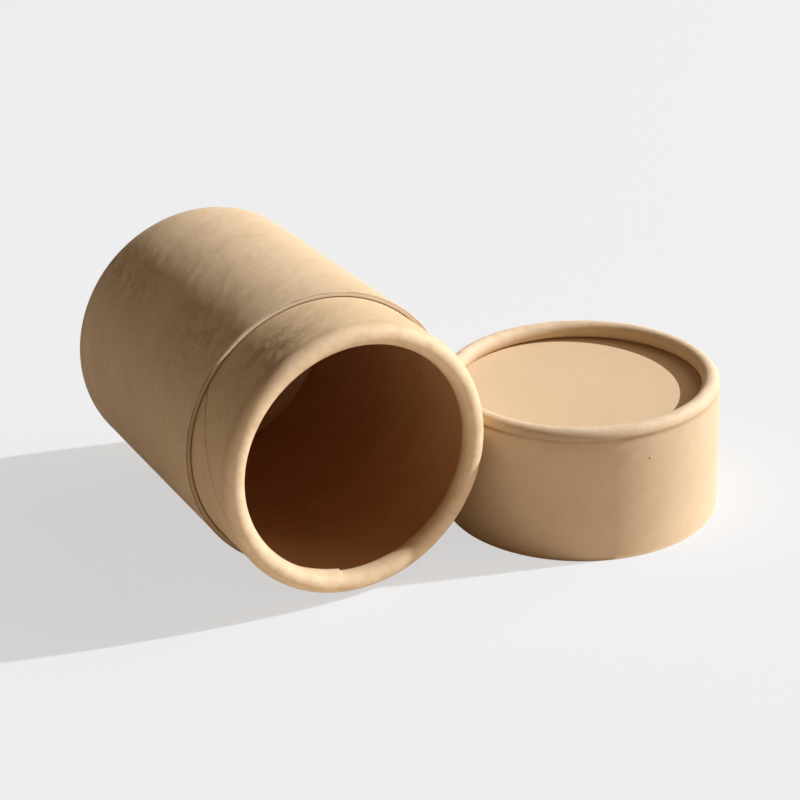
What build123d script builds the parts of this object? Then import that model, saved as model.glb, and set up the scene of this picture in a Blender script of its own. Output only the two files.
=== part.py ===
from build123d import *
import os
from math import acos, degrees

# A kraft paper tube, open and lying on its side, with its slip-on lid standing beside the mouth.
# Millimetres, Z up. The tube lies along Y with its mouth towards -Y, and the lid stands on its cut edge.
# The origin is on the surface they rest on, under the middle of the two together.
# Every tube is one wall of paper board: its one end is cut square, the other is rolled inward into a rim.

# Tube and lid
outside_radius = 32.5       # body and lid alike, so that they meet flush when shut
body_length = 67.5
lid_height = 32.5
neck_reach = 19.0           # how far the neck stands out of the body
lid_wall = 1.1
neck_wall = 1.0
slip_clearance = 0.2        # between the neck and the lid that slides over it, on the radius
disc_thickness = 1.2

# Rolled rims: the radius of the hollow that the board is rolled round
mouth_roll_hollow = 1.4
base_roll_hollow = 0.85
lid_roll_hollow = 1.05
roll_tip_gap = 0.25         # left between a roll's tip and the wall that it curls back to
edge_ease = 0.15            # softened corners of a cut edge

# How the two lie
lid_gap = 0.3               # sideways, between the lid and the tube
lid_set_back = 15.6         # the lid's middle, behind the mouth

# What follows from them
neck_radius = outside_radius - lid_wall - slip_clearance
body_wall = outside_radius - neck_radius
base_recess = 2 * (base_roll_hollow + body_wall)
lid_recess = 2 * (lid_roll_hollow + lid_wall)
tube_length = neck_reach + body_length
neck_length = tube_length - base_recess - disc_thickness

# Places, from the middle of the group
lid_x = (2 * outside_radius + lid_gap) / 2
tube_x = -lid_x
group_front = min(0, lid_set_back - outside_radius)
group_back = max(tube_length, lid_set_back + outside_radius)
mouth_y = -(group_front + group_back) / 2
lid_y = mouth_y + lid_set_back


def roll_tip_angle(roll_radius, roll_hollow):
    # How far the roll turns before its tip comes within the gap of the wall, from the wall's outside.
    return 360 - degrees(acos((roll_hollow - roll_tip_gap) / roll_radius))


def rolled_tube(radius, wall, length, roll_hollow):
    # About Z: the cut edge at z = 0, the rolled rim's crown at z = length.
    roll_radius = roll_hollow + wall
    roll_middle = Vector(radius - roll_radius, length - roll_radius)
    turn = roll_tip_angle(roll_radius, roll_hollow)
    tip_way = Vector(1, 0).rotate(Axis.Z, turn)
    with BuildSketch(Plane.XZ) as section:
        with BuildLine():
            Line((radius - wall, 0), (radius, 0))
            Line((radius, 0), (radius, roll_middle.Y))
            CenterArc(roll_middle, roll_radius, 0, turn)
            Line(roll_middle + tip_way * roll_radius, roll_middle + tip_way * roll_hollow)
            CenterArc(roll_middle, roll_hollow, 0, turn)
            Line((radius - wall, roll_middle.Y), (radius - wall, 0))
        make_face()
        chamfer(section.vertices().group_by(Axis.Y)[0], edge_ease)
    return revolve(section.sketch, Axis.Z)


def paper_disc(radius):
    # Its lower face is at z = 0.
    disc = Cylinder(radius, disc_thickness, align=(Align.CENTER, Align.CENTER, Align.MIN))
    return chamfer(disc.edges().filter_by(GeomType.CIRCLE), edge_ease)


def lay_mouthward(piece, behind_mouth):
    # Lays a piece made about Z along the tube's axis, its top towards the mouth.
    return Pos(tube_x, mouth_y + behind_mouth, outside_radius) * Rot(90, 0, 0) * piece


def lay_baseward(piece, behind_mouth):
    return Pos(tube_x, mouth_y + behind_mouth, outside_radius) * Rot(-90, 0, 0) * piece


def body_tube():
    # The outer tube: cut edge at the step to the neck, far end rolled inward to hold the base.
    tube = rolled_tube(outside_radius, body_wall, body_length, base_roll_hollow)
    return lay_baseward(tube, neck_reach)


def neck_tube():
    # The inner tube, glued in along its whole length. Its mouth is rolled inward.
    tube = rolled_tube(neck_radius, neck_wall, neck_length, mouth_roll_hollow)
    return lay_mouthward(tube, neck_length)


def base_disc():
    # Held between the body's roll and the inner end of the neck tube.
    return lay_baseward(paper_disc(outside_radius - body_wall), neck_length)


def lid_tube():
    tube = rolled_tube(outside_radius, lid_wall, lid_height, lid_roll_hollow)
    return Pos(lid_x, lid_y, 0) * tube


def lid_disc():
    # Glued in the lid, up against its roll.
    return Pos(lid_x, lid_y, lid_height - lid_recess - disc_thickness) * paper_disc(outside_radius - lid_wall)


pieces = {
    "body_tube": body_tube(),
    "neck_tube": neck_tube(),
    "base_disc": base_disc(),
    "lid_tube": lid_tube(),
    "lid_disc": lid_disc(),
}

os.makedirs("parts", exist_ok=True)
for name, piece in pieces.items():
    export_step(piece, f"parts/{name}.step")
    print(name, "volume", round(piece.volume, 1))

print("shut length", body_length + lid_height)
print("mouth at y", mouth_y, "tube axis at x", tube_x, "lid axis at", lid_x, lid_y)
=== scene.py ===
import math

import bpy
import numpy as np
from mathutils import Matrix, Vector


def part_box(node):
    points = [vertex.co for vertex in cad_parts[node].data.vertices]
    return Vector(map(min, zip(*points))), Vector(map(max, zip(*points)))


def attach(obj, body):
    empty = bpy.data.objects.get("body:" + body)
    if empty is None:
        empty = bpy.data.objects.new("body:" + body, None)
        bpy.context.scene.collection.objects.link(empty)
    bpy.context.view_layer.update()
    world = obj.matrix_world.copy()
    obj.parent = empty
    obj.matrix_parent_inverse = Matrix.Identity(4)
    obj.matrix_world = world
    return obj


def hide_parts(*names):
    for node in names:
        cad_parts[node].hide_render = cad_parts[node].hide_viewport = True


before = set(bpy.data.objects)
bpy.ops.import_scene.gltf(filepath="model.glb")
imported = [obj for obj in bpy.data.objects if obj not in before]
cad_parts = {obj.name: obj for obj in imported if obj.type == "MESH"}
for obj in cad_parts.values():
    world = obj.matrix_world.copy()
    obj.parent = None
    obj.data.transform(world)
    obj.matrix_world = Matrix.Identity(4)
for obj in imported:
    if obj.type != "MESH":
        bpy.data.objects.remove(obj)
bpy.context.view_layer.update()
scene = bpy.context.scene
mm = 0.001
print("frame loaded:", ", ".join(sorted(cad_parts)))


# Sizes come from the boxes of the frame's nodes. Those that no box gives are typed in under board.
bodyLow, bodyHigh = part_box("body_tube")
neckLow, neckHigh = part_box("neck_tube")
baseLow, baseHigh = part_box("base_disc")
lidLow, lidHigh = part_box("lid_tube")
lidDiscLow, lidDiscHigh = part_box("lid_disc")

outsideRadius = (bodyHigh.x - bodyLow.x) / 2
neckRadius = (neckHigh.x - neckLow.x) / 2
lidRadius = (lidHigh.x - lidLow.x) / 2
lidDiscRadius = (lidDiscHigh.x - lidDiscLow.x) / 2
tubeLength = bodyHigh.y - neckLow.y
bodyLength = bodyHigh.y - bodyLow.y
neckLength = neckHigh.y - neckLow.y
lidHeight = lidHigh.z
baseRoll = (bodyHigh.y - baseHigh.y) / 2
lidRoll = (lidHigh.z - lidDiscHigh.z) / 2

# Each piece is made upright about its own Z, the tube standing on its base, and is then laid where it goes.
tubePlace = Matrix.Translation(((bodyLow.x + bodyHigh.x) / 2, bodyHigh.y, (bodyLow.z + bodyHigh.z) / 2))
tubePlace = tubePlace @ Matrix.Rotation(math.radians(90), 4, "X")
lidPlace = Matrix.Translation(((lidLow.x + lidHigh.x) / 2, (lidLow.y + lidHigh.y) / 2, lidLow.z))

board = {
    "bodyWall": outsideRadius - neckRadius,
    "neckWall": 1.0 * mm,
    "lidWall": lidRadius - lidDiscRadius,
    "mouthRoll": 2.4 * mm,
    "tipGap": 0.25 * mm,      # between a roll's tip and the wall it curls back to
    "corner": 0.14 * mm,      # how round a cut edge is
    "plies": 3,
    "plyGroove": 0.025 * mm,
    "plyGrooveWide": 0.16,    # of a ply
    "waveFrom": 0.9,          # radians round a roll, over which its unevenness sets in
}
print("sizes read, tube radius", round(outsideRadius / mm, 2), "mm")


# Sections, in (radius, height), and which part of the board each point is on
wallPart, rollPart, tipPart, hollowPart, borePart, cutPart = range(6)


def arc(middle, radius, start, end, count):
    turn = np.linspace(start, end, count)
    return np.column_stack([middle[0] + radius * np.cos(turn), middle[1] + radius * np.sin(turn)])


def straight(start, end, count):
    return np.linspace(start, end, count)


def evenTurns(columns):
    return np.arange(columns) / columns * 2 * math.pi


def turnedFrom(angle, turn):
    # how far round from a turn, the short way
    return np.mod(angle - turn + math.pi, 2 * math.pi) - math.pi


def bell(value, wide):
    # 1 at zero, fading to nothing on both sides
    return np.exp(-((value / wide) ** 2))


def heights(low, high, fineFrom, fineStep, coarseStep):
    # close together above fineFrom, wider apart below it
    coarse = np.linspace(low, fineFrom, max(2, round((fineFrom - low) / coarseStep) + 1))
    fine = np.linspace(fineFrom, high, max(2, round((high - fineFrom) / fineStep) + 1))
    return np.concatenate([coarse[:-1], fine])


def rolledSection(radius, wall, length, roll, outerCorner, outsideRows, boreRows, rollRows):
    # Up the outside from the cut edge, round the roll to its tip, back round the hollow, down the bore
    # and across the cut edge. outsideRows and boreRows are heights.
    hollow = roll - wall
    middle = np.array([radius - roll, length - roll])
    turn = 2 * math.pi - math.acos((hollow - board["tipGap"]) / roll)
    corner = board["corner"]
    tip = [middle + rr * np.array([math.cos(turn), math.sin(turn)]) for rr in np.linspace(roll, hollow, 6)]
    outside = np.column_stack([np.full(len(outsideRows), radius), outsideRows])
    bore = np.column_stack([np.full(len(boreRows), radius - wall), boreRows[::-1]])
    inner = arc((radius - wall + corner, corner), corner, math.pi, 1.5 * math.pi, 5)
    outer = arc((radius - outerCorner, outerCorner), outerCorner, 1.5 * math.pi, 2 * math.pi, 9)
    cut = straight((radius - wall + corner, 0), (radius - outerCorner, 0), 6 * board["plies"] + 1)
    runs = [
        (outside, wallPart),
        (arc(middle, roll, 0, turn, rollRows)[1:], rollPart),
        (np.array(tip)[1:-1], tipPart),
        (arc(middle, hollow, turn, 0, 18), hollowPart),
        (bore[1:], borePart),
        (inner[1:], cutPart),
        (cut[1:-1], cutPart),
        (outer[:-1], cutPart),
    ]
    points = np.concatenate([run for run, part in runs])
    parts = np.concatenate([np.full(len(run), part) for run, part in runs])
    return points, parts


def upsideDown(points, parts, length):
    flipped = points[::-1] * [1, -1] + [0, length]
    return flipped, parts[::-1]


def sectionNormals(points):
    along = np.roll(points, -1, 0) - np.roll(points, 1, 0)
    along /= np.linalg.norm(along, axis=1, keepdims=True)
    return np.column_stack([along[:, 1], -along[:, 0]])


def ripple(turns, seed, waves=(2, 3, 5, 8), share=(1.0, 0.7, 0.4, 0.25)):
    # a slow uneven wave round the tube, from 0 to 1
    drawn = np.random.default_rng(seed)
    total = sum(s * np.cos(w * turns + drawn.uniform(0, 2 * math.pi)) for w, s in zip(waves, share))
    return (total - total.min()) / (total.max() - total.min())


def smoothStep(value, low, high):
    t = np.clip((value - low) / (high - low), 0, 1)
    return t * t * (3 - 2 * t)


def footGroove(points, parts, foot, deep, wide):
    # the wall draws in a little under a roll, and comes back out below
    below = np.clip((foot - points[:, 1]) / wide, 0, None)
    return -deep * below * np.exp(1 - below) * (parts == wallPart)


def foldLine(points, foot, wide):
    # 1 at the bottom of the groove under a roll, fading both ways; shade is painted in along it
    return bell(foot - points[:, 1] - 0.5 * wide, 0.7 * wide)


def crownOf(points, parts, height, wide):
    # 1 along the top of a roll, where hands rub it pale, and where the paler colour also paints a highlight
    return bell(points[:, 1] - height, wide) * (parts == rollPart)


def roundRoll(points, radius, roll, foot):
    # which way each point of a roll faces, in its section: 0 is straight out, and up is a quarter turn
    return np.arctan2(points[:, 1] - foot, points[:, 0] - (radius - roll))[:, None]


def plyGrooves(points, parts, wall, radius):
    # fine grooves between the plies, where the board is cut
    layer = (points[:, 0] - (radius - wall)) / wall * board["plies"]
    groove = bell(layer - np.round(layer), board["plyGrooveWide"])
    inside = (layer > 0.4) & (layer < board["plies"] - 0.4)
    return -board["plyGroove"] * groove * (parts == cutPart) * inside


def turned(name, section, turns, lean, offset, marks, materials, materialOf, place, body, node):
    # turns a closed section about Z. lean shifts each row's columns, offset moves along the section's normal
    points, parts = section
    rows, columns = len(points), len(turns)
    normal = sectionNormals(points)
    angle = turns[None, :] + lean[:, None]
    radius = points[:, :1] + offset * normal[:, :1]
    height = points[:, 1:] + offset * normal[:, 1:]
    corners = np.stack([radius * np.cos(angle), radius * np.sin(angle), height], 2).reshape(-1, 3)
    i, j = np.meshgrid(np.arange(rows), np.arange(columns), indexing="ij")
    up, on = (i + 1) % rows, (j + 1) % columns
    quads = np.stack([i * columns + j, i * columns + on, up * columns + on, up * columns + j], 2)
    mesh = bpy.data.meshes.new(name)
    mesh.from_pydata(corners.tolist(), [], quads.reshape(-1, 4).tolist())
    mesh.shade_smooth()
    for label, values in marks.items():
        layer = mesh.attributes.new(label, "FLOAT", "POINT")
        layer.data.foreach_set("value", np.broadcast_to(values, (rows, columns)).astype(np.float32).ravel())
    for material in materials:
        mesh.materials.append(material)
    finish = np.repeat(np.array([materialOf.get(part, 0) for part in parts]), columns)
    mesh.polygons.foreach_set("material_index", finish.astype(np.int32))
    return settle(name, mesh, place, body, node)


def settle(name, mesh, place, body, node):
    piece = bpy.data.objects.new(name, mesh)
    scene.collection.objects.link(piece)
    piece.matrix_world = place
    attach(piece, body)
    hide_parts(node)
    print("piece made:", name, len(mesh.polygons), "faces")
    return piece


# Shader tools
def feed(tree, socket, value):
    # a socket is linked, anything else is typed in
    if isinstance(value, bpy.types.NodeSocket):
        tree.links.new(value, socket)
    else:
        socket.default_value = value


def calc(tree, operation, *values, clamp=False):
    node = tree.nodes.new("ShaderNodeMath")
    node.operation = operation
    node.use_clamp = clamp
    for socket, value in zip(node.inputs, values):
        feed(tree, socket, value)
    return node.outputs[0]


def remap(tree, value, low, high, toLow=0.0, toHigh=1.0):
    node = tree.nodes.new("ShaderNodeMapRange")
    labels = ("Value", "From Min", "From Max", "To Min", "To Max")
    for label, given in zip(labels, (value, low, high, toLow, toHigh)):
        feed(tree, node.inputs[label], given)
    return node.outputs["Result"]


def mixColour(tree, factor, first, second):
    node = tree.nodes.new("ShaderNodeMix")
    node.data_type = "RGBA"
    feed(tree, node.inputs[0], factor)
    feed(tree, node.inputs[6], first)
    feed(tree, node.inputs[7], second)
    return node.outputs[2]


def stretched(tree, vector, scale, turn=0.0):
    node = tree.nodes.new("ShaderNodeMapping")
    feed(tree, node.inputs["Vector"], vector)
    node.inputs["Rotation"].default_value = (0, 0, turn)
    node.inputs["Scale"].default_value = scale
    return node.outputs["Vector"]


def noise(tree, vector, scale=1.0, detail=2.0, rough=0.5):
    node = tree.nodes.new("ShaderNodeTexNoise")
    feed(tree, node.inputs["Vector"], vector)
    for label, given in zip(("Scale", "Detail", "Roughness"), (scale, detail, rough)):
        feed(tree, node.inputs[label], given)
    return node.outputs["Fac"]


def newGroup(name, inputs, outputs):
    group = bpy.data.node_groups.new(name, "ShaderNodeTree")
    for label, kind, value in inputs:
        socket = group.interface.new_socket(label, in_out="INPUT", socket_type="NodeSocket" + kind)
        if value is not None:
            socket.default_value = value
    for label, kind in outputs:
        group.interface.new_socket(label, in_out="OUTPUT", socket_type="NodeSocket" + kind)
    return group, group.nodes.new("NodeGroupInput").outputs, group.nodes.new("NodeGroupOutput").inputs


def useGroup(tree, group, **values):
    node = tree.nodes.new("ShaderNodeGroup")
    node.node_tree = group
    for label, value in values.items():
        feed(tree, node.inputs[label], value)
    return node.outputs


def fromAxis(tree, x, y):
    return calc(tree, "SQRT", calc(tree, "ADD", calc(tree, "MULTIPLY", x, x), calc(tree, "MULTIPLY", y, y)))


def makeWinding():
    # Lays paper in a spiral: a place on the tube becomes a place on the paper strip it was wound from
    group, given, result = newGroup(
        "spiralWinding",
        [
            ("Position", "Vector", None),
            ("Radius", "Float", 0.03),
            ("Pitch", "Float", 0.12),
            ("Start", "Float", 0.0),
        ],
        [("Strip", "Vector"), ("Above", "Float"), ("Below", "Float")],
    )
    split = group.nodes.new("ShaderNodeSeparateXYZ")
    feed(group, split.inputs[0], given["Position"])
    x, y, z = split.outputs
    turn = calc(group, "ARCTAN2", y, x)
    turns = calc(group, "DIVIDE", turn, 2 * math.pi)
    risen = calc(group, "SUBTRACT", z, given["Start"])
    laps = calc(group, "SUBTRACT", calc(group, "DIVIDE", risen, given["Pitch"]), turns)
    lap = calc(group, "FLOOR", laps)
    part = calc(group, "SUBTRACT", laps, lap)
    around = calc(group, "MULTIPLY", given["Radius"], 2 * math.pi)
    slant = calc(group, "ARCTAN2", given["Pitch"], around)
    cosSlant = calc(group, "COSINE", slant)
    sinSlant = calc(group, "SINE", slant)
    unrolled = calc(group, "MULTIPLY", calc(group, "ADD", turns, lap), around)
    climbed = calc(group, "MULTIPLY", z, sinSlant)
    along = calc(group, "ADD", calc(group, "MULTIPLY", unrolled, cosSlant), climbed)
    width = calc(group, "MULTIPLY", given["Pitch"], cosSlant)
    across = calc(group, "MULTIPLY", part, width)
    depth = fromAxis(group, x, y)
    join = group.nodes.new("ShaderNodeCombineXYZ")
    for socket, value in zip(join.inputs, (along, across, depth)):
        feed(group, socket, value)
    feed(group, result["Strip"], join.outputs[0])
    feed(group, result["Above"], across)
    feed(group, result["Below"], calc(group, "SUBTRACT", width, across))
    return group


# Grain is how many to the metre, along the paper strip, across it and through it
kraftGrain = {
    "slowCloud": (60, 110, 60),
    "cloud": (330, 520, 330),
    "fibres": ((0.06, 210, 2300), (0.62, 420, 2500), (-0.75, 460, 2300)),     # turn, along, across
    "fibresThrough": 900,
    "fine": 5200,
    "flecks": (150, 330, 300),
    "fleckTurn": 0.3,
    "fleckFrom": 0.90,             # only the cells past this share hold a fleck
    "fleckSmall": 0.03,            # of a cell
    "fleckLarge": 0.085,
    "fleckColour": (0.2, 0.105, 0.05, 1),
    "roughness": 0.60,
}


def makeKraft():
    # Brown paper: cloudy pulp, long fibres that mostly follow the strip, and a few bark flecks
    group, given, result = newGroup(
        "kraftPaper",
        [
            ("Strip", "Vector", None),
            ("Paper", "Color", (0.6, 0.42, 0.25, 1)),
            ("Dark", "Color", (0.45, 0.29, 0.16, 1)),
            ("Light", "Color", (0.75, 0.58, 0.38, 1)),
            ("Cloud", "Float", 0.5),
            ("Fibre", "Float", 0.4),
            ("Fleck", "Float", 0.6),
            ("Swell", "Float", 4.0),
        ],
        [("Color", "Color"), ("Roughness", "Float"), ("Height", "Float")],
    )
    strip = given["Strip"]
    grain = kraftGrain
    slowCloud = noise(group, stretched(group, strip, grain["slowCloud"]), detail=3, rough=0.55)
    cloud = noise(group, stretched(group, strip, grain["cloud"]), detail=4, rough=0.6)
    fibres = []
    for turn, along, across in grain["fibres"]:
        laid = stretched(group, strip, (along, across, grain["fibresThrough"]), turn)
        fibres.append(remap(group, noise(group, laid, detail=2.5, rough=0.6), 0.54, 0.74))
    fibre = calc(group, "MAXIMUM", calc(group, "MAXIMUM", fibres[0], fibres[1]), fibres[2])
    fine = noise(group, strip, grain["fine"], detail=3, rough=0.65)

    murk = calc(group, "ADD", calc(group, "MULTIPLY", slowCloud, 0.55), calc(group, "MULTIPLY", cloud, 0.45))
    murk = calc(group, "MULTIPLY", remap(group, murk, 0.36, 0.66), given["Cloud"])
    colour = mixColour(group, murk, given["Paper"], given["Dark"])
    colour = mixColour(group, calc(group, "MULTIPLY", fibre, given["Fibre"]), colour, given["Light"])

    cells = group.nodes.new("ShaderNodeTexVoronoi")
    feed(group, cells.inputs["Vector"], stretched(group, strip, grain["flecks"], grain["fleckTurn"]))
    cells.inputs["Scale"].default_value = 1.0
    chosen = group.nodes.new("ShaderNodeSeparateColor")
    feed(group, chosen.inputs[0], cells.outputs["Color"])
    rare = calc(group, "GREATER_THAN", chosen.outputs[0], grain["fleckFrom"])
    size = remap(group, chosen.outputs[1], 0, 1, grain["fleckSmall"], grain["fleckLarge"])
    spot = calc(group, "LESS_THAN", cells.outputs["Distance"], size)
    fleck = calc(group, "MULTIPLY", calc(group, "MULTIPLY", rare, spot), given["Fleck"])
    colour = mixColour(group, fleck, colour, grain["fleckColour"])

    feed(group, result["Color"], colour)
    rough = calc(group, "ADD", grain["roughness"], calc(group, "MULTIPLY", cloud, 0.2))
    feed(group, result["Roughness"], rough)
    height = calc(group, "ADD", calc(group, "MULTIPLY", cloud, 1.6), calc(group, "MULTIPLY", fine, 0.5))
    height = calc(group, "ADD", height, calc(group, "MULTIPLY", fibre, 0.2))
    height = calc(group, "ADD", height, calc(group, "MULTIPLY", slowCloud, given["Swell"]))
    feed(group, result["Height"], height)
    return group


wearGrain = {
    "patches": (240, 420, 300),
    "pleats": (1500, 200, 300),
    "blotches": (300, 400, 360),
    "fuzz": (1300, 1700, 900),
    "turn": 0.5,                             # radians that the blotches and fuzz lie across the strip
    "blotchColour": (0.34, 0.20, 0.10, 1),
    "fuzzColour": (0.82, 0.66, 0.46, 1),
    # the colour of the painted shade in the groove under a roll
    "foldColour": (0.28, 0.15, 0.065, 1),
}


def makeRimWear():
    # Handling rubs a roll's crown pale, and the sharp bend opens its fibres: wear and a painted highlight.
    # The mottle is painted darker and paler, as shade on the body; the groove under a roll gets painted
    # shade.
    group, given, result = newGroup(
        "rimWear",
        [
            ("Color", "Color", None),
            ("Roughness", "Float", 0.8),
            ("Strip", "Vector", None),
            ("Rim", "Float", 0.0),
            ("Worn", "Color", (0.78, 0.62, 0.43, 1)),
            ("Amount", "Float", 0.5),
            ("Fold", "Float", 0.0),
            ("Smudge", "Float", 0.0),
        ],
        [("Color", "Color"), ("Roughness", "Float"), ("Height", "Float")],
    )
    grain = wearGrain
    strip = given["Strip"]
    patches = noise(group, stretched(group, strip, grain["patches"]), detail=4, rough=0.65)
    scuff = calc(group, "MULTIPLY", remap(group, patches, 0.34, 0.62, 0.25, 1.0), given["Rim"])
    scuff = calc(group, "MULTIPLY", scuff, given["Amount"])
    pleat = noise(group, stretched(group, strip, grain["pleats"]), detail=3, rough=0.6)
    # the crown's paler colour: wear, and a painted highlight
    colour = mixColour(group, scuff, given["Color"], given["Worn"])
    # darker and paler blotches: painted shade where the sun's light ends on the body, a rubbed patch on the
    # neck
    blotch = noise(group, stretched(group, strip, grain["blotches"], grain["turn"]), detail=6, rough=0.72)
    blotch = calc(group, "MULTIPLY", remap(group, blotch, 0.42, 0.60, 0.0, 0.7), given["Smudge"])
    colour = mixColour(group, blotch, colour, grain["blotchColour"])
    fuzz = noise(group, stretched(group, strip, grain["fuzz"], grain["turn"]), detail=4, rough=0.7)
    lifted = calc(group, "MULTIPLY", remap(group, fuzz, 0.52, 0.68), given["Smudge"])
    colour = mixColour(group, calc(group, "MULTIPLY", lifted, 0.2), colour, grain["fuzzColour"])
    # painted shade in the groove under a roll
    grime = calc(group, "MULTIPLY", given["Fold"], remap(group, patches, 0.3, 0.6, 0.65, 0.95))
    feed(group, result["Color"], mixColour(group, grime, colour, grain["foldColour"]))
    smooth = calc(group, "MULTIPLY", given["Rim"], 0.2)
    feed(group, result["Roughness"], calc(group, "SUBTRACT", given["Roughness"], smooth))
    pleats = calc(group, "MULTIPLY", pleat, given["Rim"])
    feed(group, result["Height"], calc(group, "ADD", pleats, calc(group, "MULTIPLY", lifted, 1.6)))
    return group


seamLook = {
    "lineWide": (0.06 * mm, 0.2 * mm),       # full, gone
    "lipWide": (0.18 * mm, 0.55 * mm),
    "lineColour": (0.2, 0.115, 0.06, 1),
    "lipColour": (0.84, 0.68, 0.47, 1),
}


def makeSeam():
    # The butt joint of a wound strip: a thin dark line, with the strip's own edge pale above it
    group, given, result = newGroup(
        "windingSeam",
        [
            ("Color", "Color", None),
            ("Above", "Float", 1.0),
            ("Below", "Float", 1.0),
            ("Amount", "Float", 0.6),
        ],
        [("Color", "Color"), ("Height", "Float")],
    )
    near = calc(group, "MINIMUM", given["Above"], given["Below"])
    line = remap(group, near, *seamLook["lineWide"], 1.0, 0.0)
    line = calc(group, "MULTIPLY", line, given["Amount"])
    lip = remap(group, given["Above"], *seamLook["lipWide"], 1.0, 0.0)
    lip = calc(group, "MULTIPLY", calc(group, "SUBTRACT", lip, line, clamp=True), given["Amount"])
    colour = mixColour(group, calc(group, "MULTIPLY", lip, 0.3), given["Color"], seamLook["lipColour"])
    feed(group, result["Color"], mixColour(group, line, colour, seamLook["lineColour"]))
    feed(group, result["Height"], calc(group, "SUBTRACT", calc(group, "MULTIPLY", lip, 0.5), line))
    return group


cutLook = {
    "pulpDark": (0.47, 0.33, 0.20, 1),
    "pulpPale": (0.62, 0.455, 0.29, 1),
    "glueColour": (0.34, 0.2, 0.11, 1),
    # the pale of the scuffed cut edge, which also paints a highlight
    "rubbedColour": (0.76, 0.605, 0.43, 1),
    "paperColour": (0.68, 0.5, 0.315, 1),
    "darkColour": (0.13, 0.07, 0.03, 1),
    "wander": 0.12 * mm,                     # how far the rings stray from true circles
    "paperDeep": (0.1 * mm, 0.2 * mm),       # the outermost paper: full, gone
    "crackWide": (0.18 * mm, 0.42 * mm),     # painted shade in the crease next to the bore
    "crackAmount": 0.92,
    "lineDeep": 0.24 * mm,                   # the patchy dark line under the outermost paper
    "lineWide": (0.03 * mm, 0.13 * mm),
    "bump": 0.04 * mm,
}


def makePlyEdge():
    # Cut board: its plies as fine darker and paler rings, furred by the knife
    group, given, result = newGroup(
        "plyEdge",
        [
            ("Position", "Vector", None),
            ("Radius", "Float", 0.03),
            ("Ply", "Float", 0.0004),
            ("Bore", "Float", 0.03),
            ("Scuff", "Float", 0.0),
        ],
        [("Color", "Color"), ("Roughness", "Float"), ("Height", "Float")],
    )
    split = group.nodes.new("ShaderNodeSeparateXYZ")
    feed(group, split.inputs[0], given["Position"])
    reach = fromAxis(group, split.outputs[0], split.outputs[1])
    wander = calc(group, "MULTIPLY", noise(group, given["Position"], 420, detail=3), cutLook["wander"])
    depth = calc(group, "ADD", calc(group, "SUBTRACT", given["Radius"], reach), wander)
    band = calc(group, "FRACT", calc(group, "DIVIDE", depth, given["Ply"]))
    glue = remap(group, calc(group, "ABSOLUTE", calc(group, "SUBTRACT", band, 0.5)), 0.36, 0.5)
    fur = noise(group, given["Position"], 3600, detail=3, rough=0.7)
    pulp = mixColour(group, remap(group, fur, 0.35, 0.7), cutLook["pulpDark"], cutLook["pulpPale"])
    pulp = mixColour(group, calc(group, "MULTIPLY", glue, 0.3), pulp, cutLook["glueColour"])
    # paler where scuffed: wear, and a painted highlight
    pulp = mixColour(group, calc(group, "MULTIPLY", given["Scuff"], 0.9), pulp, cutLook["rubbedColour"])
    paper = remap(group, depth, *cutLook["paperDeep"], 1.0, 0.0)
    colour = mixColour(group, paper, pulp, cutLook["paperColour"])
    # painted shade in the crease next to the bore
    crack = calc(group, "SUBTRACT", reach, given["Bore"])
    crack = remap(group, crack, *cutLook["crackWide"], cutLook["crackAmount"], 0.0)
    patchy = remap(group, noise(group, given["Position"], 300, detail=2), 0.38, 0.6, 0.4, 0.85)
    line = calc(group, "ABSOLUTE", calc(group, "SUBTRACT", depth, cutLook["lineDeep"]))
    line = calc(group, "MULTIPLY", remap(group, line, *cutLook["lineWide"], 1.0, 0.0), patchy)
    dark = calc(group, "MAXIMUM", crack, line)
    feed(group, result["Color"], mixColour(group, dark, colour, cutLook["darkColour"]))
    feed(group, result["Roughness"], calc(group, "ADD", 0.82, calc(group, "MULTIPLY", fur, 0.12)))
    feed(group, result["Height"], calc(group, "SUBTRACT", fur, calc(group, "MULTIPLY", glue, 0.6)))
    return group


def makeSpeck():
    # one small mark in the paper, such as bark or a crumb of pale pulp
    group, given, result = newGroup(
        "paperSpeck",
        [
            ("Color", "Color", None),
            ("Position", "Vector", None),
            ("Middle", "Vector", None),
            ("Size", "Float", 0.0002),
            ("Mark", "Color", (0.2, 0.1, 0.05, 1)),
        ],
        [("Color", "Color")],
    )
    apart = group.nodes.new("ShaderNodeVectorMath")
    apart.operation = "DISTANCE"
    feed(group, apart.inputs[0], given["Position"])
    feed(group, apart.inputs[1], given["Middle"])
    share = calc(group, "DIVIDE", apart.outputs["Value"], given["Size"])
    ragged = calc(group, "ADD", share, noise(group, given["Position"], 3000, detail=2))
    mask = remap(group, ragged, 1.1, 1.4, 1.0, 0.0)
    feed(group, result["Color"], mixColour(group, mask, given["Color"], given["Mark"]))
    return group


winding = makeWinding()
kraft = makeKraft()
rimWear = makeRimWear()
windingSeam = makeSeam()
plyEdge = makePlyEdge()
paperSpeck = makeSpeck()
print("node groups made:", len(bpy.data.node_groups))


def newMaterial(name):
    material = bpy.data.materials.new(name)
    material.use_nodes = True
    tree = material.node_tree
    shader = tree.nodes["Principled BSDF"]
    shader.inputs["IOR"].default_value = 1.45
    shader.inputs["Specular IOR Level"].default_value = 0.15
    position = tree.nodes.new("ShaderNodeTexCoord").outputs["Object"]
    return material, tree, shader, position


def marked(tree, label):
    # a value that the mesh carries at each point
    node = tree.nodes.new("ShaderNodeAttribute")
    node.attribute_name = label
    return node.outputs["Fac"]


def giveBump(tree, shader, height, depth):
    bump = tree.nodes.new("ShaderNodeBump")
    bump.inputs["Strength"].default_value = 1.0
    bump.inputs["Distance"].default_value = depth
    feed(tree, bump.inputs["Height"], height)
    feed(tree, shader.inputs["Normal"], bump.outputs["Normal"])


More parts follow.
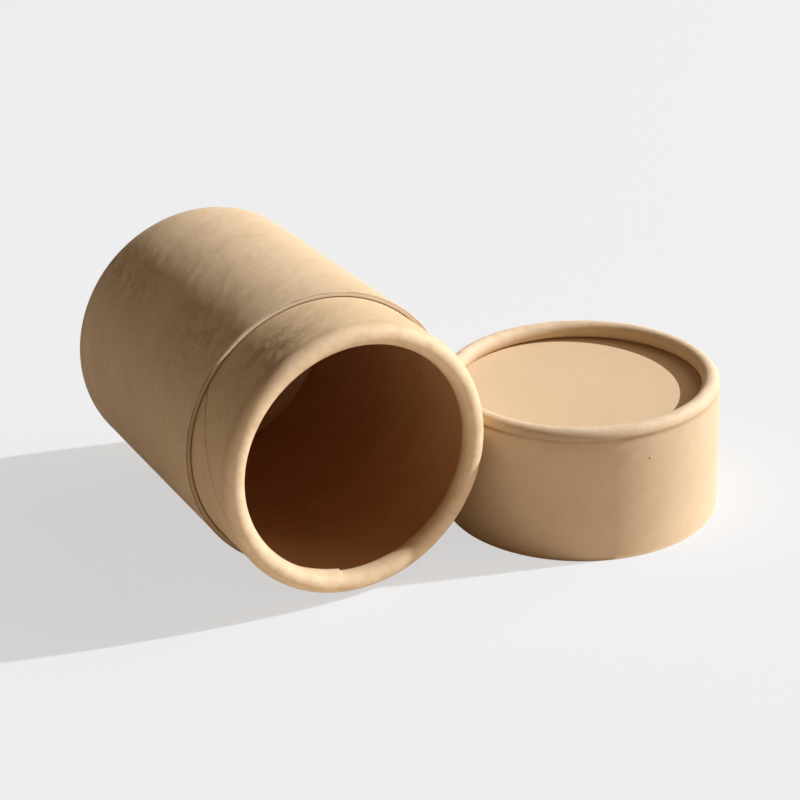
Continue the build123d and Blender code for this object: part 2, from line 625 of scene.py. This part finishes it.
def woundMaterial(name, look, radius):
    # paper wound round a tube, with a rolled rim and one spiral seam
    material, tree, shader, position = newMaterial(name)
    wound = useGroup(
        tree, winding, Position=position, Radius=radius, Pitch=look["pitch"], Start=look["seamStart"],
    )
    paper = useGroup(
        tree, kraft, Strip=wound["Strip"], Paper=look["paper"], Dark=look["dark"], Light=look["light"],
        Cloud=look["cloud"], Fibre=look["fibre"], Fleck=look["fleck"], Swell=look["swell"],
    )
    wall = calc(tree, "SUBTRACT", 1.0, marked(tree, "roll"))
    seam = useGroup(
        tree, windingSeam, Color=paper["Color"], Above=wound["Above"], Below=wound["Below"],
        Amount=calc(tree, "MULTIPLY", wall, look["seam"]),
    )
    # wear with a painted highlight on the crown, painted shade under a roll, and painted mottle
    worn = useGroup(
        tree, rimWear, Color=seam["Color"], Roughness=paper["Roughness"], Strip=wound["Strip"],
        Rim=marked(tree, "rim"), Worn=look["worn"], Amount=look["wear"], Fold=marked(tree, "fold"),
        Smudge=marked(tree, "smudge"),
    )
    colour = worn["Color"]
    for turn, high, size, mark in look["specks"]:
        middle = (radius * math.cos(math.radians(turn)), radius * math.sin(math.radians(turn)), high * mm)
        colour = useGroup(
            tree, paperSpeck, Color=colour, Position=position, Middle=middle, Size=size * mm, Mark=mark,
        )["Color"]
    feed(tree, shader.inputs["Base Color"], colour)
    feed(tree, shader.inputs["Roughness"], worn["Roughness"])
    height = calc(tree, "ADD", paper["Height"], calc(tree, "MULTIPLY", seam["Height"], 1.4))
    height = calc(tree, "ADD", height, calc(tree, "MULTIPLY", worn["Height"], 0.5))
    giveBump(tree, shader, height, look["bump"])
    return material


def cutMaterial(name, radius, wall, scuffed=False):
    material, tree, shader, position = newMaterial(name)
    edge = useGroup(
        tree, plyEdge, Position=position, Radius=radius, Ply=wall / board["plies"], Bore=radius - wall,
        Scuff=marked(tree, "scuff") if scuffed else 0.0,
    )
    feed(tree, shader.inputs["Base Color"], edge["Color"])
    feed(tree, shader.inputs["Roughness"], edge["Roughness"])
    giveBump(tree, shader, edge["Height"], cutLook["bump"])
    return material


def flatMaterial(name, look):
    # a disc stamped out of flat board, its grain lying one way
    material, tree, shader, position = newMaterial(name)
    sheet = stretched(tree, position, (1, 1, 1), math.radians(look["grain"]))
    paper = useGroup(
        tree, kraft, Strip=sheet, Paper=look["paper"], Dark=look["dark"], Light=look["light"],
        Cloud=look["cloud"], Fibre=look["fibre"], Fleck=look["fleck"], Swell=look["swell"],
    )
    feed(tree, shader.inputs["Base Color"], paper["Color"])
    feed(tree, shader.inputs["Roughness"], paper["Roughness"])
    giveBump(tree, shader, paper["Height"], look["bump"])
    return material


# Body tube: the outer tube, its cut edge up and its far end rolled in under the base
bodyLook = {
    "paper": (0.70, 0.515, 0.33, 1),
    "dark": (0.61, 0.425, 0.255, 1),
    "light": (0.78, 0.61, 0.42, 1),
    # the rubbed crown's colour, which also paints a highlight
    "worn": (0.74, 0.57, 0.39, 1),
    "cloud": 0.85,
    "fibre": 0.25,
    "fleck": 0.2,
    "swell": 13.0,
    "specks": [(137, 57.7, 0.28, (0.95, 0.86, 0.72, 1))],   # turn, height, size and colour
    "wear": 0.35,
    "seam": 0.35,
    "pitch": 128 * mm,
    "seamStart": 43.4 * mm,     # where the seam crosses turn 0, which keeps it on the far side
    "bump": 0.03 * mm,
    "columns": 480,
    "wave": 0.07 * mm,          # how far the wall wanders in from a true round
    "edgeRound": 0.35 * mm,     # the cut edge is rubbed round on the outside
    "scuffTurn": 88,            # and painted paler here, as wear and as a highlight where the sun catches the cut edge, in degrees
    "scuffWide": 54,
    "smudge": 0.7,              # how strongly darker mottle is painted along this turn, as painted shade where the sun's light ends
    "smudgeTurn": 130,
    "smudgeWide": 13,
    "smudgeStep": 7 * mm,       # how quickly the mottle comes and goes along the tube
    "crownWide": 0.9 * mm,      # how wide the roll is rubbed along its top, painted paler there as wear and as a highlight
    "footDeep": 0.12 * mm,
    "footWide": 1.3 * mm,
}


def makeBody():
    look = bodyLook
    wall = board["bodyWall"]
    turns = evenTurns(look["columns"])
    rollFoot = bodyLength - baseRoll
    outsideRows = heights(
        look["edgeRound"], rollFoot, fineFrom=rollFoot - 4 * mm, fineStep=0.4 * mm, coarseStep=1.1 * mm,
    )
    boreRows = heights(
        board["corner"], rollFoot, fineFrom=bodyLength / 2, fineStep=8 * mm, coarseStep=8 * mm,
    )
    points, parts = rolledSection(
        outsideRadius, wall, bodyLength, baseRoll, look["edgeRound"], outsideRows, boreRows, rollRows=44,
    )
    grooves = plyGrooves(points, parts, wall, outsideRadius)
    grooves = grooves + footGroove(points, parts, rollFoot, look["footDeep"], look["footWide"])
    points, parts = upsideDown(points, parts, bodyLength)
    grooves = grooves[::-1]
    high = points[:, 1:] / bodyLength
    wander = ripple(turns, 3)[None, :] * (1 - high) + ripple(turns, 4)[None, :] * high
    shown = np.isin(parts, (wallPart, rollPart))[:, None]
    offset = grooves[:, None] - look["wave"] * wander * shown
    crown = crownOf(points, parts, 0, look["crownWide"])
    materials = [
        woundMaterial("bodyKraft", look, outsideRadius),
        cutMaterial("bodyCutEdge", outsideRadius, wall, scuffed=True),
    ]
    # the cut edge's pale patch: wear, and a painted highlight where the sun catches it
    scuff = np.exp(-(((np.degrees(turns) - look["scuffTurn"]) / look["scuffWide"]) ** 4))
    # painted shade: darker mottle along the band where the sun's light ends
    rubbed = bell(np.degrees(turns) - look["smudgeTurn"], look["smudgeWide"])
    smudge = look["smudge"] * rubbed[None, :] * (0.6 + 0.4 * np.sin(points[:, 1:] / look["smudgeStep"]))
    turned(
        "bodyTube", (points, parts), turns, np.zeros(len(points)), offset,
        {
            "rim": crown[:, None],
            "roll": (parts == rollPart)[:, None],
            "scuff": scuff[None, :],
            "fold": 0.0,
            "smudge": smudge,
        },
        materials, {cutPart: 1, tipPart: 1}, tubePlace, "tube", "body_tube",
    )


# Neck tube: glued inside the body, its mouth rolled in. The paper's spiral seam shows on it, and so does
# the end of a ply at the bottom of the mouth
neckLook = {
    "paper": (0.705, 0.515, 0.315, 1),
    "dark": (0.60, 0.405, 0.23, 1),
    "light": (0.785, 0.615, 0.415, 1),
    # the rubbed crown's colour, which also paints a highlight
    "worn": (0.85, 0.64, 0.43, 1),
    "cloud": 0.75,
    "fibre": 0.25,
    "fleck": 0.2,
    "swell": 12.0,
    "specks": [
        (119.5, 75.5, 0.24, (0.9, 0.8, 0.64, 1)),
        (125.5, 81.5, 0.26, (0.42, 0.27, 0.15, 1)),
        (118.9, 80.2, 0.2, (0.85, 0.73, 0.55, 1)),
    ],
    "wear": 0.8,
    "seam": 0.8,
    "pitch": 123.5 * mm,
    "bump": 0.035 * mm,
    "columns": 420,
    "seamTurn": 148,            # degrees, where the seam passes seamDepth behind the mouth
    "seamDepth": 18.4 * mm,
    "seamGroove": 0.07 * mm,
    "seamGrooveWide": 0.11 * mm,
    "seamLip": 0.035 * mm,
    "seamLipWide": 0.22 * mm,
    "seamLipAbove": 0.32 * mm,  # from the groove's middle to the lip's
    "seamFade": 1.2 * mm,       # the groove fades out over this length, up to the roll
    "seamStops": (2.2 * mm, 0.6 * mm),      # and its dark line between these two, below the roll
    "flapFrom": 236,            # degrees, where the ply's end starts to stand off the roll
    "flapTo": 258,
    "flapThick": 0.42 * mm,
    "flapEndWide": 0.35 * mm,
    "flapFacing": (2.5, 3.0),   # radians round the roll where the ply begins, and where it is full
    "footDeep": 0.15 * mm,      # the groove at the foot of the roll
    "footWide": 1.5 * mm,
    "mouthWave": 0.09 * mm,     # how uneven the mouth's roll is
    "crownWide": 1.0 * mm,
    "smudge": 1.25,             # the rubbed patch: strength, turn, and millimetres behind the mouth
    "smudgeTurn": 118,
    "smudgeWide": 15,
    "smudgeBehind": 8.5,
    "smudgeLong": 5.5,
    "lumps": [                  # turn, millimetres behind the mouth, size and height
        (119.5, 11.0, 0.45, 0.08),
        (121.3, 7.4, 0.4, -0.07),
        (125.5, 5.0, 0.5, -0.07),
        (118.9, 6.3, 0.5, 0.06),
        (111.9, 7.0, 1.6, 0.05),
        (104.7, 5.0, 1.4, -0.05),
        (124.5, 12.5, 1.8, 0.05),
    ],
}


def neckColumns(look, lean):
    # even columns, with close ones added at the seam and at the ply's end
    seam = math.radians(look["seamTurn"])
    flap = math.radians(look["flapTo"]) - lean.max()
    close = np.array([0.12, 0.25, 0.4, 0.6, 0.85, 1.15]) * mm / neckRadius
    extra = [seam - close, [seam], seam + close, flap - close, flap + close]
    turns = np.concatenate([evenTurns(look["columns"]), *extra])
    return np.unique(np.round(np.mod(turns, 2 * math.pi), 6))


def seamRelief(look, turns):
    # a groove where the edges of the strip meet, and the lip of its upper edge
    slant = math.atan2(look["pitch"], 2 * math.pi * neckRadius)
    above = -turnedFrom(turns, math.radians(look["seamTurn"])) * neckRadius * math.sin(slant)
    groove = -look["seamGroove"] * bell(above, look["seamGrooveWide"])
    lip = look["seamLip"] * bell(above - look["seamLipAbove"], look["seamLipWide"])
    return groove + lip


def plyEnd(look, angle, sectionTurn):
    # a ply that rises along the roll's inner side and stops short
    start, end = math.radians(look["flapFrom"]), math.radians(look["flapTo"])
    rise = 1 - (1 - np.clip((angle - start) / (end - start), 0, 1)) ** 2
    stop = 1 - smoothStep(angle, end, end + look["flapEndWide"] / neckRadius)
    facing = np.where(sectionTurn < 0, sectionTurn + 2 * math.pi, sectionTurn)
    return look["flapThick"] * rise * stop * smoothStep(facing, *look["flapFacing"])


def makeNeck():
    look = neckLook
    wall = board["neckWall"]
    roll = board["mouthRoll"]
    # the neck starts above the base disc; heights here are from its own inner end
    seamHeight = neckLength - look["seamDepth"]
    rollFoot = neckLength - roll
    neckFoot = neckLength - (tubeLength - bodyLength) - 2 * mm     # a little way inside the body
    outsideRows = heights(
        board["corner"], rollFoot, fineFrom=neckFoot, fineStep=0.32 * mm, coarseStep=9 * mm,
    )
    boreRows = heights(
        board["corner"], rollFoot, fineFrom=rollFoot / 2, fineStep=1.8 * mm, coarseStep=2.6 * mm,
    )
    points, parts = rolledSection(
        neckRadius, wall, neckLength, roll, board["corner"], outsideRows, boreRows, rollRows=60,
    )

    # columns lean with the winding over the neck, so that the seam runs along one of them
    lean = (np.clip(points[:, 1], neckFoot, rollFoot) - seamHeight) * 2 * math.pi / look["pitch"]
    turns = neckColumns(look, lean)
    angle = np.mod(turns[None, :] + lean[:, None], 2 * math.pi)
    onWall = ((parts == wallPart) & (points[:, 1] > neckFoot))[:, None]
    fade = 1 - smoothStep(points[:, 1], rollFoot - look["seamFade"], rollFoot)[:, None]
    offset = seamRelief(look, turns)[None, :] * onWall * fade

    # the mouth's roll is a little uneven, and only ever inside the true form
    sectionTurn = roundRoll(points, neckRadius, roll, rollFoot)
    onRoll = (parts == rollPart)[:, None]
    start = smoothStep(np.abs(sectionTurn), 0.0, board["waveFrom"])
    offset = offset - look["mouthWave"] * ripple(angle, 11) * onRoll * start
    offset = offset + plyEnd(look, angle, sectionTurn) * onRoll

    for degrees, behind, size, lift in look["lumps"]:
        gapAround = turnedFrom(angle, math.radians(degrees)) * neckRadius
        gapAlong = points[:, 1:] - (neckLength - behind * mm)
        offset = offset + lift * mm * np.exp(-(gapAround ** 2 + gapAlong ** 2) / (size * mm) ** 2) * onWall

    foot = footGroove(points, parts, rollFoot, look["footDeep"], look["footWide"])
    offset = offset + foot[:, None] * (0.4 + 0.6 * ripple(angle, 12))
    # painted shade in the groove under the mouth's roll
    fold = 0.3 * foldLine(points, rollFoot, look["footWide"])[:, None] * ripple(angle, 12)
    offset = offset + plyGrooves(points, parts, wall, neckRadius)[:, None]
    crown = crownOf(points, parts, neckLength, look["crownWide"])
    paperLook = dict(look)
    paperLook["seamStart"] = tubeLength - look["seamDepth"] - look["pitch"] * look["seamTurn"] / 360
    materials = [
        woundMaterial("neckKraft", paperLook, neckRadius),
        cutMaterial("neckCutEdge", neckRadius, wall),
        woundMaterial("neckInside", dict(paperLook, **insideLook), neckRadius - wall),
    ]
    stopFrom, stopTo = look["seamStops"]
    rolled = smoothStep(points[:, 1], rollFoot - stopFrom, rollFoot - stopTo)
    turnedBy = (np.degrees(angle) - look["smudgeTurn"]) / look["smudgeWide"]
    behind = (neckLength - points[:, 1:]) / mm - look["smudgeBehind"]
    smudge = look["smudge"] * np.exp(-turnedBy ** 2 - (behind / look["smudgeLong"]) ** 2)
    points = points + [0, tubeLength - neckLength]
    turned(
        "neckTube", (points, parts), turns, lean, offset,
        {"rim": crown[:, None], "roll": rolled[:, None], "fold": fold, "smudge": smudge},
        materials, {cutPart: 1, tipPart: 1, borePart: 2, hollowPart: 2},
        tubePlace, "tube", "neck_tube",
    )


# Inside of the neck: the paper coloured darker and redder than outside, as painted shade in the bore
insideLook = {
    "paper": (0.56, 0.305, 0.15, 1),
    "dark": (0.46, 0.235, 0.11, 1),
    "light": (0.62, 0.375, 0.20, 1),
    "cloud": 0.6,
    "fibre": 0.2,
    "specks": [],
    "seam": 0.3,
    "seamStart": 30 * mm,
    "pitch": 118 * mm,
    "wear": 0.0,
}


# Lid tube: rolled rim up, standing on its cut edge
lidLook = {
    "paper": (0.68, 0.51, 0.34, 1),
    "dark": (0.60, 0.43, 0.27, 1),
    "light": (0.75, 0.59, 0.42, 1),
    # the rubbed crown's colour, which also paints a highlight
    "worn": (0.86, 0.66, 0.45, 1),
    "cloud": 0.6,
    "fibre": 0.2,
    "fleck": 0.2,
    "swell": 7.0,
    "specks": [(265.5, 24.1, 0.34, (0.28, 0.14, 0.06, 1))],
    "wear": 0.85,
    "seam": 0.3,
    "pitch": 128 * mm,
    "seamStart": -3.6 * mm,
    "bump": 0.03 * mm,
    "columns": 480,
    "wave": 0.08 * mm,
    "rimWave": 0.09 * mm,
    "footDeep": 0.42 * mm,      # the groove under the roll, deepest at footTurn
    "footWide": 0.85 * mm,
    "footTurn": 208,
    "footEven": 0.1,            # this share of the groove goes all the way round
    "footNarrow": 2.5,          # and the rest is gathered at footTurn by this power
    "crownWide": 0.9 * mm,
}


def makeLid():
    look = lidLook
    wall = board["lidWall"]
    turns = evenTurns(look["columns"])
    rollFoot = lidHeight - lidRoll
    outsideRows = heights(
        board["corner"], rollFoot, fineFrom=rollFoot - 5 * mm, fineStep=0.25 * mm, coarseStep=0.9 * mm,
    )
    boreRows = heights(
        board["corner"], rollFoot, fineFrom=rollFoot - 1 * mm, fineStep=0.5 * mm, coarseStep=1.8 * mm,
    )
    points, parts = rolledSection(
        lidRadius, wall, lidHeight, lidRoll, board["corner"], outsideRows, boreRows, rollRows=56,
    )
    sectionTurn = roundRoll(points, lidRadius, lidRoll, rollFoot)
    onRoll = (parts == rollPart)[:, None]
    start = smoothStep(np.abs(sectionTurn), 0.0, board["waveFrom"])
    shown = np.isin(parts, (wallPart, rollPart))[:, None]
    flutes = ripple(turns, 21, (2, 3, 5, 8, 13, 21), (1.0, 0.7, 0.4, 0.25, 0.14, 0.08))
    offset = plyGrooves(points, parts, wall, lidRadius)[:, None] - look["wave"] * flutes[None, :] * shown
    foot = footGroove(points, parts, rollFoot, look["footDeep"], look["footWide"])
    share = (0.5 + 0.5 * np.cos(turns - math.radians(look["footTurn"]))) ** look["footNarrow"]
    share = look["footEven"] + (1 - look["footEven"]) * share
    share = share * (0.7 + 0.3 * ripple(turns, 24))
    offset = offset + foot[:, None] * share[None, :]
    # painted shade in the groove under the rim, strongest where the groove is deepest
    fold = foldLine(points, rollFoot, look["footWide"])[:, None] * share[None, :]
    offset = offset - look["rimWave"] * ripple(turns, 22)[None, :] * onRoll * start
    crown = crownOf(points, parts, lidHeight, look["crownWide"])
    materials = [
        woundMaterial("lidKraft", look, lidRadius),
        cutMaterial("lidCutEdge", lidRadius, wall),
    ]
    turned(
        "lidTube", (points, parts), turns, np.zeros(len(points)), offset,
        {"rim": crown[:, None], "roll": (parts == rollPart)[:, None], "fold": fold, "smudge": 0.0},
        materials, {cutPart: 1, tipPart: 1}, lidPlace, "lid", "lid_tube",
    )


# Discs: stamped board, glued in under the rolls
discLook = {
    "paper": (0.73, 0.535, 0.335, 1),
    "dark": (0.67, 0.475, 0.285, 1),
    "light": (0.76, 0.595, 0.405, 1),
    "cloud": 0.45,
    "fibre": 0.3,
    "fleck": 0.35,
    "swell": 3.0,
    "grain": 25,
    "bump": 0.025 * mm,
    "columns": 240,
    "rings": 41,
    "wave": 0.05 * mm,          # how far the top face sags towards its edge
}


def makeDisc(name, radius, low, high, place, body, node):
    look = discLook
    # top face, rounded edge, side and underside, as rings about the middle
    corner = board["corner"]
    reach = np.linspace(0, radius - corner, look["rings"] + 1)[1:]
    top = np.column_stack([reach, np.full(len(reach), high)])
    under = np.column_stack([reach[::-1], np.full(len(reach), low)])
    edge = arc((radius - corner, high - corner), corner, math.pi / 2, 0, 5)[1:]
    side = straight((radius, high - corner), (radius, low + corner), 6)[1:-1]
    foot = arc((radius - corner, low + corner), corner, 0, -math.pi / 2, 5)[:-1]
    rings = np.concatenate([top, edge, side, foot, under])
    turns = evenTurns(look["columns"])
    sag = np.zeros((len(rings), len(turns)))
    sag[: len(top)] = -look["wave"] * ripple(turns, 31)[None, :] * (reach / radius)[:, None] ** 2
    corners = np.stack([
        rings[:, :1] * np.cos(turns), rings[:, :1] * np.sin(turns), rings[:, 1:] + sag,
    ], 2).reshape(-1, 3)
    columns, last = len(turns), len(rings) - 1
    faces = []
    for i in range(last):
        for j in range(columns):
            on = (j + 1) % columns
            faces.append((i * columns + j, (i + 1) * columns + j, (i + 1) * columns + on, i * columns + on))
    topMiddle, underMiddle = len(corners), len(corners) + 1
    corners = np.concatenate([corners, [(0, 0, high), (0, 0, low)]])
    for j in range(columns):
        on = (j + 1) % columns
        faces.append((topMiddle, j, on))
        faces.append((underMiddle, last * columns + on, last * columns + j))
    mesh = bpy.data.meshes.new(name)
    mesh.from_pydata(corners.tolist(), [], faces)
    mesh.shade_smooth()
    mesh.materials.append(flatMaterial(name + "Kraft", look))
    return settle(name, mesh, place, body, node)


makeBody()
makeNeck()
makeLid()
makeDisc(
    "baseDisc", neckRadius, bodyHigh.y - baseHigh.y, bodyHigh.y - baseLow.y,
    tubePlace, "tube", "base_disc",
)
makeDisc("lidDisc", lidDiscRadius, lidDiscLow.z, lidDiscHigh.z, lidPlace, "lid", "lid_disc")


# Floor, light and camera
studio = {
    "floorHalf": 6.0,
    "floorColour": (0.97, 0.86, 0.73, 1),     # what the object gets back from the lit floor
    "floorSeen": (0.25, 0.25, 0.25, 1),       # how strongly the camera sees the floor's own light and shadow
    "floorLift": (0.610, 0.610, 0.610, 1),    # on top of this plain glow
    "background": (0.863, 0.863, 0.863, 1),
    "ambient": (0.085, 0.055, 0.03, 1),
    "sunColour": (0.84, 0.92, 1.0),
    "sunStrength": 5.0,
    "sunTurn": -18,                           # degrees from +X towards +Y
    "sunHeight": 32,                          # degrees above the floor
    "sunSoftness": 1.0,                       # degrees across
    "softColour": (1.0, 0.80, 0.61),
    "softPower": 6.4,
    "softHeight": 38,
    "softDistance": 1.2,
    "softSize": 1.3,
}


def towardsLamp(turn, high):
    turn, high = math.radians(turn), math.radians(high)
    return Vector((math.cos(turn) * math.cos(high), math.sin(turn) * math.cos(high), math.sin(high)))


def seenDirectly(tree):
    # 1 for what the camera sees, straight or by way of a reflection or clear material
    seen = tree.nodes.new("ShaderNodeLightPath").outputs
    mirrored = calc(tree, "MAXIMUM", seen["Is Glossy Ray"], seen["Is Transmission Ray"])
    return calc(tree, "MAXIMUM", seen["Is Camera Ray"], mirrored)


def makeFloor():
    half = studio["floorHalf"]
    mesh = bpy.data.meshes.new("floor")
    corners = [(-half, -half, 0), (half, -half, 0), (half, half, 0), (-half, half, 0)]
    mesh.from_pydata(corners, [], [(0, 1, 2, 3)])
    floor = bpy.data.objects.new("floor", mesh)
    scene.collection.objects.link(floor)
    material = bpy.data.materials.new("paleFloor")
    material.use_nodes = True
    tree = material.node_tree
    tree.nodes.clear()
    shows = seenDirectly(tree)
    matte = tree.nodes.new("ShaderNodeBsdfDiffuse")
    colour = mixColour(tree, shows, studio["floorColour"], studio["floorSeen"])
    feed(tree, matte.inputs["Color"], colour)
    glow = tree.nodes.new("ShaderNodeEmission")
    feed(tree, glow.inputs["Color"], studio["floorLift"])
    feed(tree, glow.inputs["Strength"], shows)
    both = tree.nodes.new("ShaderNodeAddShader")
    feed(tree, both.inputs[0], matte.outputs[0])
    feed(tree, both.inputs[1], glow.outputs[0])
    feed(tree, tree.nodes.new("ShaderNodeOutputMaterial").inputs["Surface"], both.outputs[0])
    mesh.materials.append(material)


def makeWorld():
    world = bpy.data.worlds.new("studioWorld")
    scene.world = world
    world.use_nodes = True
    tree = world.node_tree
    tree.nodes.clear()
    soft = tree.nodes.new("ShaderNodeBackground")
    soft.inputs["Color"].default_value = studio["ambient"]
    pale = tree.nodes.new("ShaderNodeBackground")
    pale.inputs["Color"].default_value = studio["background"]
    choose = tree.nodes.new("ShaderNodeMixShader")
    feed(tree, choose.inputs[0], seenDirectly(tree))
    feed(tree, choose.inputs[1], soft.outputs[0])
    feed(tree, choose.inputs[2], pale.outputs[0])
    feed(tree, tree.nodes.new("ShaderNodeOutputWorld").inputs["Surface"], choose.outputs[0])


def placeLamp(lamp, towards, distance):
    light = bpy.data.objects.new(lamp.name, lamp)
    scene.collection.objects.link(light)
    turn = towards.to_track_quat("Z", "Y").to_matrix().to_4x4()
    light.matrix_world = Matrix.Translation(towards * distance) @ turn
    return light


def makeLamps():
    sun = bpy.data.lights.new("sun", "SUN")
    sun.energy = studio["sunStrength"]
    sun.color = studio["sunColour"]
    sun.angle = math.radians(studio["sunSoftness"])
    placeLamp(sun, towardsLamp(studio["sunTurn"], studio["sunHeight"]), 1)
    soft = bpy.data.lights.new("softKey", "AREA")
    soft.energy = studio["softPower"]
    soft.color = studio["softColour"]
    soft.size = studio["softSize"]
    panel = placeLamp(soft, towardsLamp(studio["sunTurn"], studio["softHeight"]), studio["softDistance"])
    panel.visible_camera = False


cameraView = {
    "place": (-0.20142, -0.38020, 0.22568),
    "heading": 27.34,          # degrees from +Y towards +X
    "down": 24.908,            # degrees below level
    "roll": -2.255,
    "lens": 90.65,
}


def makeCamera():
    heading, down, roll = (math.radians(cameraView[k]) for k in ("heading", "down", "roll"))
    ahead = Vector((math.sin(heading), math.cos(heading), 0))
    forward = ahead * math.cos(down) - Vector((0, 0, math.sin(down)))
    right = Vector((math.cos(heading), -math.sin(heading), 0))
    up = right.cross(forward)
    across = right * math.cos(roll) + up * math.sin(roll)
    upright = up * math.cos(roll) - right * math.sin(roll)
    data = bpy.data.cameras.new("camera")
    data.lens = cameraView["lens"]
    camera = bpy.data.objects.new("camera", data)
    scene.collection.objects.link(camera)
    turn = Matrix((across, upright, -forward)).transposed().to_4x4()
    camera.matrix_world = Matrix.Translation(cameraView["place"]) @ turn
    scene.camera = camera


makeFloor()
makeWorld()
makeLamps()
makeCamera()
scene.view_settings.view_transform = "Standard"
print("floor, light and camera placed")
